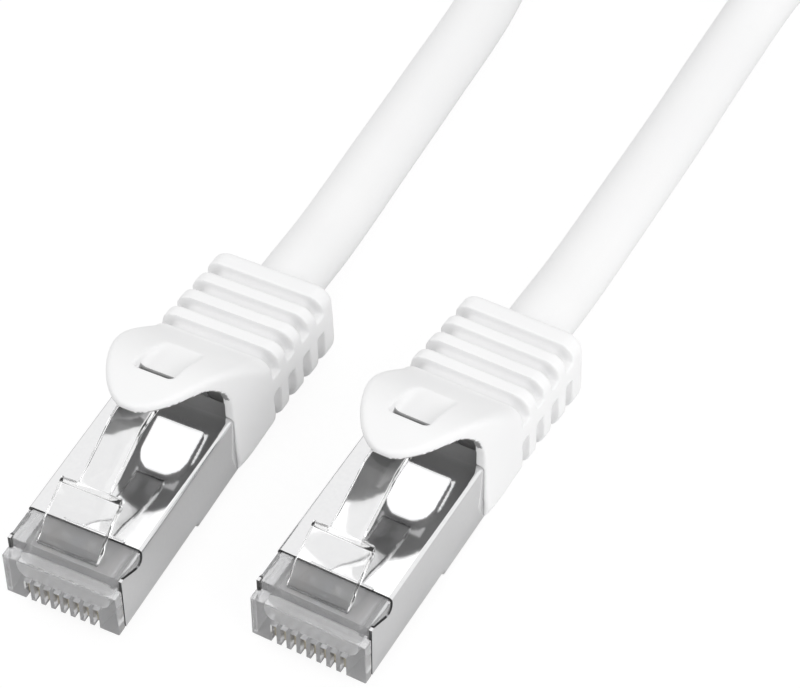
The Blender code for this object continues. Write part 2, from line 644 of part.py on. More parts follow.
def make_boot(side, end):
    slope = [BOOT_FRONT + (SLOPE_FOOT - BOOT_FRONT) * k / 7 for k in range(8)]
    ribs = [SLOPE_FOOT + (BOOT_REAR - REAR_INSET - SLOPE_FOOT) * k / 4 for k in range(1, 5)]
    sections = [boot_section(y, BOOT_HALF) for y in slope + ribs]
    sections.append(boot_section(BOOT_REAR, BOOT_HALF, REAR_INSET))
    boot = add_part(f"boot_{side}", loft("boot", sections), "white_jacket", end)

    wide = BOOT_HALF + BEYOND
    cheek = PLUG_HEIGHT + CHEEK_RISE
    sky = HOOD_TOP + BEYOND
    slope_face = HINGE_Y - GAP
    front = [
        (BOOT_FRONT - BEYOND, BOOT_BOTTOM - BEYOND), (BOOT_FRONT + BOOT_FRONT_LEAN, BOOT_BOTTOM - BEYOND),
        (BOOT_FRONT, cheek), (slope_face, cheek + CHEEK_SLOPE), (slope_face, sky),
        (BOOT_FRONT - BEYOND, sky),
    ]
    cut(boot, add_tool(f"boot_mouth_{side}", prism("mouth", front, "side", -wide, wide), end))

    plug = PLUG_WIDTH / 2 + GAP
    pocket_rear = SHIELD_REAR + 2 * FIT
    pocket = boxes("pocket", [(
        (-plug, BOOT_FRONT - BEYOND, -TAIL_DEPTH - GAP), (plug, pocket_rear, PLUG_HEIGHT + GAP))])
    cut(boot, add_tool(f"boot_pocket_{side}", pocket, end))

    seat = HINGE_RADIUS + FIT
    arc = [math.radians(angle) for angle in range(-90, 1, 15)]
    slot = [
        (BOOT_FRONT - BEYOND, PLUG_HEIGHT - FIT), (pocket_rear, PLUG_HEIGHT - FIT),
        (pocket_rear, HINGE_Z - seat),
        *((HINGE_Y + seat * math.cos(angle), HINGE_Z + seat * math.sin(angle)) for angle in arc),
        (HINGE_Y + seat, sky), (BOOT_FRONT - BEYOND, sky),
    ]
    half = HINGE_WIDTH / 2 + FIT
    cut(boot, add_tool(f"boot_slot_{side}", prism("slot", slot, "side", -half, half), end))

    crimp = rods(
        "crimp_room", CRIMP_OUTER + FIT, pocket_rear - FIT, BRAID_REAR + FIT, [(0, CORD_HEIGHT)],
        CRIMP_SIDES)
    cut(boot, add_tool(f"boot_crimp_room_{side}", crimp, end))

    reach = [CRIMP_REAR] + [SLOPE_FOOT + (BOOT_REAR + BEYOND - SLOPE_FOOT) * k / 5 for k in range(6)]
    bore = tube_curve("bore", [cord_axis(y) for y in reach], CORD_RADIUS + BORE_GAP, TUBE_SIDES)
    cut(boot, add_tool(f"boot_bore_{side}", mesh_from_curve(bore), end))

    for k in range(GROOVES):
        y = GROOVE_FIRST + k * GROOVE_PITCH
        low, high = y - GROOVE_WIDTH / 2, y + GROOVE_WIDTH / 2
        for place, outline in zip(("upper", "lower"), groove_outlines(y)):
            tool = add_tool(f"groove_{place}_{k + 1}_{side}", prism("groove", outline, "front", low, high), end)
            cut(boot, tool)


def make_hood(side, end):
    angles = [math.radians(10 + 80 * k / (HOOD_SECTIONS - 1)) for k in range(HOOD_SECTIONS)]
    tip_to_hinge = [HINGE_Y - HOOD_REACH * math.cos(angle) for angle in angles]
    rear = HINGE_Y + 2 * HINGE_RADIUS
    places = tip_to_hinge + [HINGE_Y + HINGE_RADIUS, rear]
    pivot = (0, HINGE_Y, HINGE_Z)
    sections = [boot_section(y, hood_half_width(y)) for y in places]
    hood = add_part(f"boot_hood_{side}", loft("hood", sections), "white_jacket", end, pivot)

    wide = BOOT_HALF + BEYOND
    underside = PLUG_HEIGHT + TIP_RISE + HOOD_CLEARANCE
    block = PLUG_HEIGHT + BLOCK_RISE
    sky = HOOD_TOP + BEYOND
    arc = [math.radians(angle) for angle in range(-90, 91, 15)]
    tongue = [
        (HINGE_Y - HOOD_REACH - BEYOND, underside), (BLOCK_FRONT, underside),
        (BLOCK_FRONT, block + BLOCK_SLOPE), (BOOT_FRONT + FIT, block), (HINGE_Y - HINGE_RADIUS / 2, HINGE_Z - HINGE_RADIUS * 0.86),
        *((HINGE_Y + HINGE_RADIUS * math.cos(angle), HINGE_Z + HINGE_RADIUS * math.sin(angle))
          for angle in arc),
        (HINGE_Y, sky), (HINGE_Y - HOOD_REACH - BEYOND, sky),
    ]
    keep(hood, add_tool(f"hood_tongue_{side}", prism("tongue", tongue, "side", -wide, wide), end))

    half = HINGE_WIDTH / 2
    root = HINGE_Y - 4 * GAP
    beside = [
        (BOOT_FRONT + FIT, BOOT_BOTTOM), (rear + BEYOND, BOOT_BOTTOM), (rear + BEYOND, sky),
        (root, sky), (root, block), (BOOT_FRONT + FIT, block),
    ]
    for place, low, high in (("left", -wide, -half), ("right", half, wide)):
        tool = add_tool(f"hood_{place}_{side}", prism("beside", beside, "side", low, high), end)
        cut(hood, tool)

    floor = HOOD_TOP - RECESS_DEPTH
    recess = [
        (RECESS_FRONT, floor - SLIT_DEPTH), (RECESS_FRONT + SLIT_WIDTH, floor - SLIT_DEPTH),
        (RECESS_FRONT + SLIT_WIDTH, floor), (RECESS_FRONT + RECESS_LENGTH, floor - RECESS_FALL),
        (RECESS_FRONT + RECESS_LENGTH, sky), (RECESS_FRONT, sky),
    ]
    half = RECESS_WIDTH / 2
    cut(hood, add_tool(f"hood_recess_{side}", prism("recess", recess, "side", -half, half), end))


# The cord, its coil and the tie

def make_cord(side, end, route):
    inside = [CORD_FRONT, SLOPE_FOOT, (SLOPE_FOOT + BOOT_REAR) / 2, BOOT_REAR]
    points = [end.matrix_world @ cord_axis(y) for y in inside]
    outside = smooth_route(points[-2:] + [Vector(place) * MM for place in route], CORD_SPACING)
    add_part(
        f"cable_{side}", tube_curve("cable", points[:-2] + outside, CORD_RADIUS, TUBE_SIDES),
        "white_jacket")


def make_coil():
    middle, thick = COIL_DIAMETER / 2, COIL_THICKNESS / 2
    low = TIE_THICKNESS + TIE_GAP
    high = low + COIL_HEIGHT
    profile = [
        (middle + thick, high - COIL_EDGE), (middle + thick, low + COIL_EDGE),
        (middle + thick - COIL_EDGE, low), (middle - thick + COIL_EDGE, low),
        (middle - thick, low + COIL_EDGE), (middle - thick, high - COIL_EDGE),
        (middle - thick + COIL_EDGE, high), (middle + thick - COIL_EDGE, high),
    ]
    coil = add_part("cable_coil", profile_mesh("coil", profile), "white_jacket")
    coil.location = COIL_CENTRE
    turn_profile(coil, COIL_SIDES)


def make_tie():
    """A strap round the coil's far side, which the coil rests on."""
    half = TIE_WIDTH / 2
    inner_edge = COIL_DIAMETER / 2 - COIL_THICKNESS / 2
    near = COIL_CENTRE.y + math.sqrt(inner_edge ** 2 - half ** 2) - FIT
    far = COIL_CENTRE.y + COIL_DIAMETER / 2 + COIL_THICKNESS / 2 + FIT
    high = TIE_THICKNESS + 2 * TIE_GAP + COIL_HEIGHT
    wall = TIE_THICKNESS
    low_x, high_x = COIL_CENTRE.x - half, COIL_CENTRE.x + half
    tie = add_part(
        "cable_tie", boxes("tie", [((low_x, near - wall, 0), (high_x, far + wall, high + wall))]),
        "tie_strap")
    window = boxes("window", [((low_x - wall, near, wall), (high_x + wall, far, high))])
    cut(tie, add_tool("tie_window", window))


def end_frames():
    """Places both ends so that the assembly, without its cord, stands centred on the origin."""
    yaw = math.radians(END_YAW)
    right = (BOOT_HALF + BOOT_SWAY) * math.cos(yaw) - (BOOT_REAR - REAR_INSET) * math.sin(yaw)
    back = BOOT_REAR * math.cos(yaw) - BOOT_HALF / 2 * math.sin(yaw)
    middle = Vector(((END_SHIFT_X + right - BOOT_HALF) / 2, (END_SHIFT_Y + back) / 2, BOOT_BOTTOM))
    return {
        "a": Matrix.Translation(-middle),
        "b": Matrix.Translation(Vector((END_SHIFT_X, END_SHIFT_Y, 0)) - middle)
        @ Matrix.Rotation(yaw, 4, "Z"),
    }


def make_end(side, frame):
    end = bpy.data.objects.new(f"end_{side}", None)
    end.matrix_world = frame
    parts.objects.link(end)
    bpy.context.view_layer.update()
    make_shield(side, end)
    make_housing(side, end)
    make_contacts(side, end)
    make_load_bar(side, end)
    make_wires(side, end)
    make_braid(side, end)
    make_latch(side, end)
    make_boot(side, end)
    make_hood(side, end)
    return end


empty_scene()
parts = add_collection("ethernet_patch_cable")
tools = add_collection("cutters")
routes = {"a": CORD_ROUTE_A, "b": CORD_ROUTE_B}
for end_side, end_frame in end_frames().items():
    plug_end = make_end(end_side, end_frame)
    make_cord(end_side, plug_end, routes[end_side])
make_coil()
make_tie()
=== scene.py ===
# Looks of a shielded network patch cable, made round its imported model.
# Shapes are in millimetres in each plug end's own frame: x across the plug, y from the nose
# to the cord, z up. They are turned and scaled to the model's frame when they are finished.

import json
import math

import bmesh
import bpy
from mathutils import Matrix, Vector


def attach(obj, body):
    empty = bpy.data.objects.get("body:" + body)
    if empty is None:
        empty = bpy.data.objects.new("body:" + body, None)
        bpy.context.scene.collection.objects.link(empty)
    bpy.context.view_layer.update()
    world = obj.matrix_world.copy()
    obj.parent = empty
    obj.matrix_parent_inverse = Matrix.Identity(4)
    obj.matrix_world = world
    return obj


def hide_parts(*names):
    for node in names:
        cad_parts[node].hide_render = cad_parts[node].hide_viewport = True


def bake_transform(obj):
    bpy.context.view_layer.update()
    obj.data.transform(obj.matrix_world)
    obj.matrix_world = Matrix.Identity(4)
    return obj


mm = 0.001
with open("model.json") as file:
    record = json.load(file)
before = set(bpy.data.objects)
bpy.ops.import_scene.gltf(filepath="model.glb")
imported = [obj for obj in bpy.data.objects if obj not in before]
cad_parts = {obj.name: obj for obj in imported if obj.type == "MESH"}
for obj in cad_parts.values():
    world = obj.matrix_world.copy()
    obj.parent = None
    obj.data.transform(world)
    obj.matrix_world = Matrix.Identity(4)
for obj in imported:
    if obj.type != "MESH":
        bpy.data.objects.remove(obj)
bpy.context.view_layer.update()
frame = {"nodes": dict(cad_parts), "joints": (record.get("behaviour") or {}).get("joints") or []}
nodes = frame["nodes"]
joints = {joint["name"]: joint for joint in frame["joints"]}


# Camera and light

view = {
    "place": (87.35, -156.28, 216.96),
    "azimuth": 26.26,
    "elevation": 47.66,
    "lens": 135,
    "sensor": 36,
    "nearest": 0.01,                        # metres
    "furthest": 50,
}


def makeCamera():
    data = bpy.data.cameras.new("camera")
    data.lens = view["lens"]
    data.sensor_width = view["sensor"]
    data.clip_start = view["nearest"]
    data.clip_end = view["furthest"]
    camera = bpy.data.objects.new("camera", data)
    camera.location = Vector(view["place"]) * mm
    camera.rotation_euler = (math.radians(90 - view["elevation"]), 0, math.radians(view["azimuth"]))
    bpy.context.scene.collection.objects.link(camera)
    bpy.context.scene.camera = camera


# Shader maths

class Value:                                # an output that takes part in sums
    def __init__(self, finish, socket):
        self.finish = finish
        self.socket = socket

    def sum(self, operation, *others):
        return self.finish.add("ShaderNodeMath", {"operation": operation}, dict(enumerate(others)))

    def __add__(self, other):
        return self.sum("ADD", self, other)

    def __radd__(self, other):
        return self.sum("ADD", other, self)

    def __sub__(self, other):
        return self.sum("SUBTRACT", self, other)

    def __rsub__(self, other):
        return self.sum("SUBTRACT", other, self)

    def __mul__(self, other):
        return self.sum("MULTIPLY", self, other)

    def __rmul__(self, other):
        return self.sum("MULTIPLY", other, self)

    def __lt__(self, other):
        return self.sum("LESS_THAN", self, other)

    def high(self, other):                  # the higher of the two
        return self.sum("MAXIMUM", self, other)

    def out(self, name):                    # another output of the same node
        return Value(self.finish, self.socket.node.outputs[name])


class Finish:
    def __init__(self, name, tree=None):
        if tree is None:
            self.material = bpy.data.materials.new(name)
            self.material.use_nodes = True
            tree = self.material.node_tree
            tree.nodes.clear()
        self.tree = tree

    def add(self, kind, settings=None, values=None):
        node = self.tree.nodes.new(kind)
        for name, value in (settings or {}).items():
            setattr(node, name, value)
        for name, value in (values or {}).items():
            self.set(node.inputs[name], value)
        return Value(self, node.outputs[0]) if node.outputs else node

    def set(self, socket, value):
        if isinstance(value, Value):
            self.tree.links.new(value.socket, socket)
        elif isinstance(value, tuple) and len(value) == 3 and socket.type == "RGBA":
            socket.default_value = (*value, 1)
        else:
            socket.default_value = value

    def position(self):
        return self.add("ShaderNodeTexCoord").out("Object")

    def mark(self, name):                   # what the piece's mesh says at each point
        return self.add("ShaderNodeAttribute", {"attribute_name": name}).out("Fac")

    def noise(self, place, scale, detail):
        return self.add(
            "ShaderNodeTexNoise", {}, {"Vector": place, "Scale": scale, "Detail": detail})

    def bands(self, place, direction, scale, distortion):
        settings = {"wave_type": "BANDS", "bands_direction": direction}
        values = {"Vector": place, "Scale": scale, "Distortion": distortion}
        return self.add("ShaderNodeTexWave", settings, values).out("Fac")

    def mix(self, share, first, second):    # two colours
        mixed = self.add("ShaderNodeMix", {"data_type": "RGBA"}, {0: share, 6: first, 7: second})
        return mixed.out(2)

    def bump(self, height, depth, strength):
        values = {"Height": height, "Distance": depth * mm, "Strength": strength}
        return self.add("ShaderNodeBump", {}, values)

    def surface(self, **values):
        names = {name.replace("_", " "): value for name, value in values.items()}
        return self.add("ShaderNodeBsdfPrincipled", {}, names)

    def finish(self, shader):
        self.add("ShaderNodeOutputMaterial", {}, {"Surface": shader})
        return self.material


# Surroundings: a white sky, a pale floor and four soft lamps

white = (1.0, 1.0, 1.0)
light = {
    "sky": 0.72,                            # for all that isn't seen directly or in a mirror
    "floorSize": 6,                         # metres
    "floorDrop": 0.02,                      # how far it lies below the cord
    "floorColour": (0.82, 0.82, 0.82),
    # a darker floor seen only in the metal: painted shade in its reflections
    "floorShadeInMetal": (0.69, 0.69, 0.69),
    "floorRoughness": 0.9,
    "floorGlow": 0.85,                      # share of the floor's white that no shadow touches
    "floorWhite": 1.06,                     # strength of that white
    "lamps": [                              # place, aim, size and strength
        ((350, -150, 300), (0, 0, 0), 260, 0.72),
        ((-80, 80, 520), (0, 20, 0), 420, 0.25),
        ((-350, -60, 260), (0, 20, 0), 240, 0.25),
        ((420, 40, 110), (0, 20, 0), 260, 0.1),
    ],
}


def rayShare(finish, kinds):                # 1 for rays of these kinds
    rays = finish.add("ShaderNodeLightPath")
    share = rays.out(kinds[0])
    for kind in kinds[1:]:
        share = share.high(rays.out(kind))
    return share


def makeSky():
    world = bpy.data.worlds.new("sky")
    world.use_nodes = True
    world.node_tree.nodes.clear()
    sky = Finish("sky", world.node_tree)
    seen = rayShare(sky, ["Is Camera Ray", "Is Glossy Ray", "Is Transmission Ray"])
    direct = sky.add("ShaderNodeLightPath").out("Diffuse Depth") < 0.5      # no bounce before
    strength = seen * direct * (1 - light["sky"]) + light["sky"]
    shader = sky.add("ShaderNodeBackground", {}, {"Color": white, "Strength": strength})
    sky.add("ShaderNodeOutputWorld", {}, {"Surface": shader})
    bpy.context.scene.world = world


def makeFloor():
    bm = bmesh.new()
    bmesh.ops.create_grid(bm, x_segments=1, y_segments=1, size=light["floorSize"])
    mesh = bpy.data.meshes.new("floor")
    bm.to_mesh(mesh)
    bm.free()
    floor = bpy.data.objects.new("floor", mesh)
    floor.location.z = -light["floorDrop"] * mm
    bpy.context.scene.collection.objects.link(floor)
    paint = Finish("floor")
    # the floor is darker in the metal's reflections: painted shade
    mirrored = rayShare(paint, ["Is Glossy Ray"])
    colour = paint.mix(mirrored, light["floorColour"], light["floorShadeInMetal"])
    roughness = light["floorRoughness"]
    lit = paint.surface(Base_Color=colour, Roughness=roughness, Specular_IOR_Level=0.0)
    glow = paint.add("ShaderNodeEmission", {}, {"Color": white, "Strength": light["floorWhite"]})
    share = rayShare(paint, ["Is Camera Ray", "Is Transmission Ray"]) * light["floorGlow"]
    mixed = paint.add("ShaderNodeMixShader", {}, {0: share, 1: lit, 2: glow})
    mesh.materials.append(paint.finish(mixed))


def makeLamps():
    for index, (place, aim, size, strength) in enumerate(light["lamps"]):
        data = bpy.data.lights.new(f"lamp{index}", "AREA")
        data.size = size * mm
        data.energy = strength
        lamp = bpy.data.objects.new(f"lamp{index}", data)
        lamp.location = Vector(place) * mm
        facing = (Vector(aim) - Vector(place)).to_track_quat("-Z", "Y")
        lamp.rotation_euler = facing.to_euler()
        bpy.context.scene.collection.objects.link(lamp)


# The two plug ends' frames, from the hoods' joints

hinge = {"y": 24.6, "z": 10.4}              # where the hood's axis lies in a plug end's frame


def endFrame(side):
    joint = joints[f"hood_press_{side}"]
    across = Vector(joint["axis"]).normalized()
    up = Vector((0, 0, 1))
    turn = Matrix((across, up.cross(across), up)).transposed()
    origin = Vector(joint["pos_m"]) - turn @ (Vector((0, hinge["y"], hinge["z"])) * mm)
    return Matrix.Translation(origin) @ turn.to_4x4() @ Matrix.Scale(mm, 4)


endFrames = {side: endFrame(side) for side in "ab"}


# Mesh helpers

far = 30                                    # further than any cut has to reach
sharp = 40                                  # degrees, from which an edge is bevelled


def finishedPiece(bm, name, side=None, smoothAngle=35):
    if side:
        bm.transform(endFrames[side])
    mesh = bpy.data.meshes.new(name)
    bm.to_mesh(mesh)
    bm.free()
    mesh.shade_smooth()
    mesh.set_sharp_from_angle(angle=math.radians(smoothAngle))
    piece = bpy.data.objects.new(name, mesh)
    bpy.context.scene.collection.objects.link(piece)
    return piece


def looseShape(bm):                         # a shape that other shapes are cut from or joined to
    bmesh.ops.recalc_face_normals(bm, faces=bm.faces)
    mesh = bpy.data.meshes.new("shape")
    bm.to_mesh(mesh)
    bm.free()
    shape = bpy.data.objects.new("shape", mesh)
    bpy.context.scene.collection.objects.link(shape)
    return shape


def withModifiers(shape, steps):            # the mesh that a list of modifiers gives, as a bmesh
    for kind, settings in steps:
        change = shape.modifiers.new(kind, kind)
        for name, value in settings.items():
            setattr(change, name, value)
    evaluated = shape.evaluated_get(bpy.context.evaluated_depsgraph_get())
    bm = bmesh.new()
    bm.from_mesh(evaluated.to_mesh())
    evaluated.to_mesh_clear()
    bpy.data.objects.remove(shape)
    return bm


def rounded(bm, width, segments):           # with its sharp edges bevelled
    soften = {"width": width, "segments": segments, "limit_method": "ANGLE"}
    soften["angle_limit"] = math.radians(sharp)
    return withModifiers(looseShape(bm), [("BEVEL", soften)])


def carved(bm, cuts, joins=()):             # bm less some shapes, with others joined on first
    others = [("UNION", looseShape(other)) for other in joins]
    others += [("DIFFERENCE", looseShape(other)) for other in cuts]
    steps = [("BOOLEAN", {"operation": how, "object": other}) for how, other in others]
    result = withModifiers(looseShape(bm), steps)
    for how, other in others:
        bpy.data.objects.remove(other)
    return result


def extruded(outline, axis, low, high):     # an outline of (u, v) points, extruded along an axis
    places = {"x": lambda u, v: (low, u, v), "y": lambda u, v: (u, low, v)}
    bm = bmesh.new()
    face = bm.faces.new([bm.verts.new(places[axis](u, v)) for u, v in outline])
    grown = bmesh.ops.extrude_face_region(bm, geom=[face])
    verts = [item for item in grown["geom"] if isinstance(item, bmesh.types.BMVert)]
    shift = Vector((axis == "x", axis == "y", 0)) * (high - low)
    bmesh.ops.translate(bm, vec=shift, verts=verts)
    return bm


def box(low, high):
    bm = bmesh.new()
    low, high = Vector(low), Vector(high)
    place = Matrix.Translation((low + high) / 2) @ Matrix.Diagonal((*(high - low), 1))
    bmesh.ops.create_cube(bm, size=1, matrix=place)
    return bm


def arc(centre, radius, start, stop, steps):
    angles = [math.radians(start + (stop - start) * k / steps) for k in range(steps + 1)]
    return [(centre[0] + radius * math.cos(a), centre[1] + radius * math.sin(a)) for a in angles]


def circle(radius, height, steps):
    return arc((0, height), radius, 0, 360 * (steps - 1) / steps, steps - 1)


def softCorners(half, low, high, lowRadius, highRadius, lowSteps, highSteps):
    # an upright rectangle's outline with two sizes of rounded corner
    return [
        *arc((half - lowRadius, low + lowRadius), lowRadius, 270, 360, lowSteps),
        *arc((half - highRadius, high - highRadius), highRadius, 0, 90, highSteps),
        *arc((highRadius - half, high - highRadius), highRadius, 90, 180, highSteps),
        *arc((lowRadius - half, low + lowRadius), lowRadius, 180, 270, lowSteps),
    ]


def smoothStep(t):                          # 0 to 1, slow at both ends
    t = min(max(t, 0.0), 1.0)
    return t * t * (3 - 2 * t)


# Cord: one metre between the boots, its spare length in a tied coil beyond the view

cord = {
    "diameter": 6.4,
    "length": 1.03,                         # metres
    "start": 24.5,                          # inside the boot
    "height": 3.25,
    "coilCentre": (-1.36, 135.1),
    "coilRadius": 34.8,                     # at the middle of the turns
    "coilHeight": 7.5,
    "turnSpacing": 6.6,
    "coilStart": 220,                       # degrees, where the cord joins the coil
    "coilTurns": 3.65,
    "pointsPerTurn": 24,
    "crossing": 0.30,                       # share of a turn in which the turns change places
    "hump": 0.42,                           # how far they rise there
    "spacing": 1.5,
    "roundness": 6,
}
routeA = [                                  # from boot a to the coil, in the model's frame
    (-11.65, 21.6, 4.30), (-11.75, 27.1, 3.60), (-11.87, 33.1, 3.27), (-11.95, 39.1, 3.25),
    (-12.05, 52.1, 3.25), (-12.35, 67.1, 3.25), (-14.3, 79.1, 3.25), (-18.9, 91.1, 3.25),
    (-21.1, 95.3, 3.25),
]
routeB = [
    (12.59, 26.9, 4.30), (12.75, 32.4, 3.60), (12.92, 38.4, 3.27), (13.13, 44.4, 3.25),
    (13.6, 57.4, 3.25), (14.1, 70.0, 3.9), (15.3, 80.6, 5.8), (17.5, 89.0, 7.6),
    (20.4, 96.4, 9.0),
]
joinA = [(39.9, 232.6, 3.7)]                # radius, angle and height at the coil's ends
joinB = [(38.9, -31, 10.7), (40.9, -46, 10.1)]

boot = {
    "slopeFoot": 28.4,
    "slopeCrest": 16.4,
    "rear": 40.3,
    "bottom": -1.4,
    "top": 8.2,
    "fall": 0.7,                            # how much lower the ribs are at the rear
    "sway": 0.5,                            # how far the rear bends to one side
    "sag": 0.25,
    "halfWidth": 6.65,
    "lean": 0.4,                            # how much the sides lean in
    "lowRadius": 2.4,
    "highRadius": 1.6,
    "hoodRadius": 0.6,
    "softStart": 20,                        # from here to the rear the top edge gets rounder
    "softLength": 8,
    "cornerSteps": 10,
    "hoodTop": 14.9,
    "hoodReach": 11.3,
    "hoodDroop": 0.2,
    "droopStart": 21.0,
    "hoodRoundness": 1.85,
    "hoodSteps": 18,
    "backSteps": 30,
    "rearCorner": [(0.6, 0.0), (0.25, 0.12), (0.0, 0.5)],       # distance from the rear, inset
    "mouth": [                              # its edge seen from the side, from the belly to the lip
        (22.1, -0.6), (21.85, 4.0), (21.85, 8.2), (21.65, 9.6), (21.2, 10.75), (20.5, 11.8),
        (19.6, 12.75), (18.6, 13.4), (17.0, 13.75), (15.0, 13.85),
    ],
    "throatHalf": 5.0,
    "throatRear": 24.3,
    "throatFloor": 6.0,
    "roofPlaces": [23.4, 22.4, 21.2, 20.0, 18.8, 17.6, 16.0],
    "shell": 1.2,                           # thickness of the hood's roof
    "plugHalf": 5.77,
    "plugTop": 6.72,
    "plugBottom": -0.82,
    "plugRear": 24.0,
    "padHalf": 2.67,                        # the pad under the thumb rest, which presses the lever
    "padFront": 17.3,
    "padRear": 22.4,
    "padFrontFoot": 12.4,
    "padRearFoot": 10.6,
    "padRadius": 2.3,
    "padPlaces": [21.0, 19.6, 18.4],
    "boreRadius": 3.28,
    "boreMiddle": (0.25, 32.5, 3.1),
    "boreLength": 18,
    "grooves": 4,
    "grooveFirst": 29.4,
    "groovePitch": 2.7,
    "grooveWidth": 1.3,
    "grooveDepth": 0.85,
    "grooveSide": 1.1,
    "grooveLowDepth": 0.65,
    "grooveEnd": 5.6,
    "grooveLowStart": 3.5,
    "recessWidth": 4.1,
    "recessFront": 17.8,
    "recessCentre": 0.2,
    "recessDepth": 1.15,
    "recessRear": 23.9,
    "recessFall": 1.8,
    "recessRounding": 0.5,
    "slitFront": 18.25,
    "slitRear": 19.1,
    "slitDepth": 0.5,
    "voxel": 0.18,
    "softening": 4,
}


def cordAxis(y):                            # where the cord's middle runs inside the boot
    along = smoothStep((y - boot["slopeFoot"]) / (boot["rear"] - boot["slopeFoot"]))
    return Vector((boot["sway"] * along, y, cord["height"] - boot["sag"] * along))


def coilPoint(turns):                       # clockwise from the joining point
    done = math.floor(turns + 1e-9)
    crossing = (turns - done - 1 + cord["crossing"]) / cord["crossing"]
    slot = math.radians(-45 - 90 * (done + smoothStep(crossing)))
    lift = cord["hump"] * math.sin(math.pi * smoothStep(crossing))
    spread = cord["turnSpacing"] / math.sqrt(2)
    radius = cord["coilRadius"] + spread * math.cos(slot)
    height = cord["coilHeight"] + spread * math.sin(slot) + lift
    return coilPlace(radius, cord["coilStart"] - 360 * turns, height)


def coilPlace(radius, degrees, height):
    x, y = cord["coilCentre"]
    angle = math.radians(degrees)
    return Vector((x + radius * math.cos(angle), y + radius * math.sin(angle), height)) * mm


def smoothRoute(points, spacing):           # a smooth curve through the points
    ends = [points[0] * 2 - points[1], *points, points[-1] * 2 - points[-2]]
    route = [points[0]]
    for before, a, b, after in zip(ends, ends[1:], ends[2:], ends[3:]):
        steps = max(1, round((b - a).length / spacing))
        for k in range(1, steps + 1):
            t = k / steps
            bend = (before * 2 - a * 5 + b * 4 - after) * t
            twist = (a * 3 - before - b * 3 + after) * t * t
            route.append(a + ((b - before) + (bend + twist)) * (t / 2))
    return route


def makeCord(tie):
    middle = (boot["slopeFoot"] + boot["rear"]) / 2
    inside = [cord["start"], boot["slopeFoot"], middle, boot["rear"]]
    points = [endFrames["a"] @ cordAxis(y) for y in inside]
    points += [Vector(place) * mm for place in routeA]
    points += [coilPlace(*place) for place in joinA]
    steps = round(cord["coilTurns"] * cord["pointsPerTurn"])
    points += [coilPoint(cord["coilTurns"] * k / steps) for k in range(steps + 1)]
    points += [coilPlace(*place) for place in joinB]
    points += [Vector(place) * mm for place in reversed(routeB)]
    points += [endFrames["b"] @ cordAxis(y) for y in reversed(inside)]
    route = smoothRoute(points, cord["spacing"] * mm)
    curve = bpy.data.curves.new("cord", "CURVE")
    curve.dimensions = "3D"
    curve.bevel_depth = cord["diameter"] / 2 * mm
    curve.bevel_resolution = cord["roundness"]
    curve.use_fill_caps = True
    spline = curve.splines.new("POLY")
    spline.points.add(len(route) - 1)
    for point, place in zip(spline.points, route):
        point.co = (*place, 1)
    spline.use_smooth = True
    piece = bpy.data.objects.new("cord", curve)
    bpy.context.scene.collection.objects.link(piece)
    curve.materials.append(finishes["jacket"])
    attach(piece, "cable")
    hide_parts("cable_a", "cable_b", "cable_coil")
    endFrames["a"] @ cordAxis(boot["rear"])


# Boot and hood, one soft skin

def bootTop(y):
    rear = boot["rear"] - boot["slopeFoot"]
    ribs = boot["top"] - boot["fall"] * max(0.0, y - boot["slopeFoot"]) / rear
    along = (boot["slopeFoot"] - y) / (boot["slopeFoot"] - boot["slopeCrest"])
    slope = (boot["hoodTop"] - boot["top"]) * math.sin(math.pi / 2 * min(max(along, 0.0), 1.0))
    start = boot["droopStart"]
    droop = max(0.0, start - y) / (start - hinge["y"] + boot["hoodReach"])
    return ribs + slope - boot["hoodDroop"] * droop ** 2


def hoodHalfWidth(y):
    if y >= hinge["y"]:
        return boot["halfWidth"]
    reach = min(1.0, (hinge["y"] - y) / boot["hoodReach"])
    power = boot["hoodRoundness"]
    return boot["halfWidth"] * (1 - reach ** power) ** (1 / power)


def shapeSection(ring, y, half, bottom, top, lowRadius, highRadius, sway=0.0):
    # a circle's points are moved out to the four corners of a rounded rectangle that leans in
    steps = boot["cornerSteps"]
    lowRadius, highRadius = min(lowRadius, half / 2), min(highRadius, half / 2)
    narrowing = boot["lean"] / boot["halfWidth"] / (boot["top"] - boot["bottom"])
    corners = [(1, 1, highRadius), (-1, 1, highRadius), (-1, -1, lowRadius), (1, -1, lowRadius)]
    for k, vert in enumerate(ring):
        corner, step = divmod(k, steps + 1)
        right, up, radius = corners[corner]
        angle = math.radians(90 * (corner + step / steps))
        x = right * (half - radius) + radius * math.cos(angle)
        z = (top - radius if up > 0 else bottom + radius) + radius * math.sin(angle)
        vert.co = (x * (1 - narrowing * (z - boot["bottom"])) + sway, y, z)


